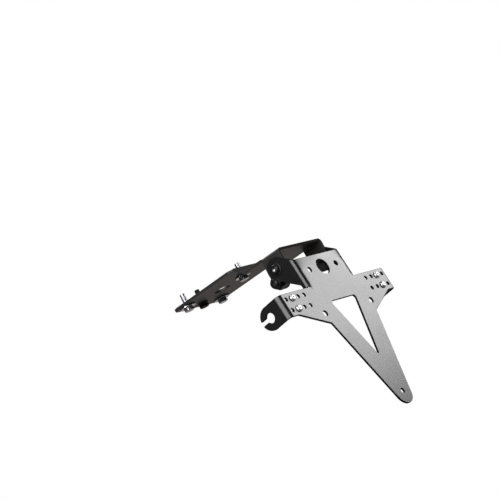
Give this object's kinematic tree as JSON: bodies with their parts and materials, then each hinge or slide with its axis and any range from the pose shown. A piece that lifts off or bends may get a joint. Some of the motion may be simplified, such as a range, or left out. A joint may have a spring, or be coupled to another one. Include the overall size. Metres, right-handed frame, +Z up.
{
  "type": "tail tidy",
  "caption": "Black folded sheet number plate bracket for under a motorbike tail, with a clamped tilting plate holder, wing holes, indicator ears and a triangular cut-out.",
  "frame": {"origin": "on top of the carrier's front plate, midway between its two side screws, where it bolts up under the tail", "axes": "+X to the right seen from behind, +Y to the front of the bike, +Z up; the face of the holder looks along -Y"},
  "size_m": [0.1886, 0.17, 0.2385],
  "materials": {
    "carrier": "satin black powder coat",
    "holder": "satin black powder coat",
    "black_screw": "black coated steel",
    "stainless": "bright stainless steel",
    "bright_steel": "bright zinc plated steel",
    "zinc": "zinc plated steel"
  },
  "bodies": {
    "carrier": {"carrier_bracket": "carrier", "pivot_screw_left": "black_screw", "pivot_screw_right": "black_screw", "pivot_washer_left": "black_screw", "pivot_washer_right": "black_screw", "pivot_nut_left": "black_screw", "pivot_nut_right": "black_screw", "base_screw_rear": "bright_steel", "base_screw_left": "bright_steel", "base_screw_right": "bright_steel", "base_screw_front": "black_screw", "base_washer_rear": "bright_steel", "base_washer_left": "bright_steel", "base_washer_right": "bright_steel"},
    "holder": {"plate_holder": "holder", "lock_screw": "black_screw", "lock_washer": "black_screw", "lock_backing": "black_screw", "lock_nut": "black_screw", "plate_screw_lu": "stainless", "plate_screw_ll": "stainless", "plate_screw_ru": "stainless", "plate_screw_rl": "stainless", "plate_nut_lu": "zinc", "plate_nut_ll": "zinc", "plate_nut_ru": "zinc", "plate_nut_rl": "zinc"}
  },
  "joints": [
    {"name": "plate_tilt", "type": "hinge", "parent": "carrier", "child": "holder", "pos_m": [0, -0.13137, -0.04156], "axis": [1, 0, 0], "range_deg": [-30, 10]}
  ]
}
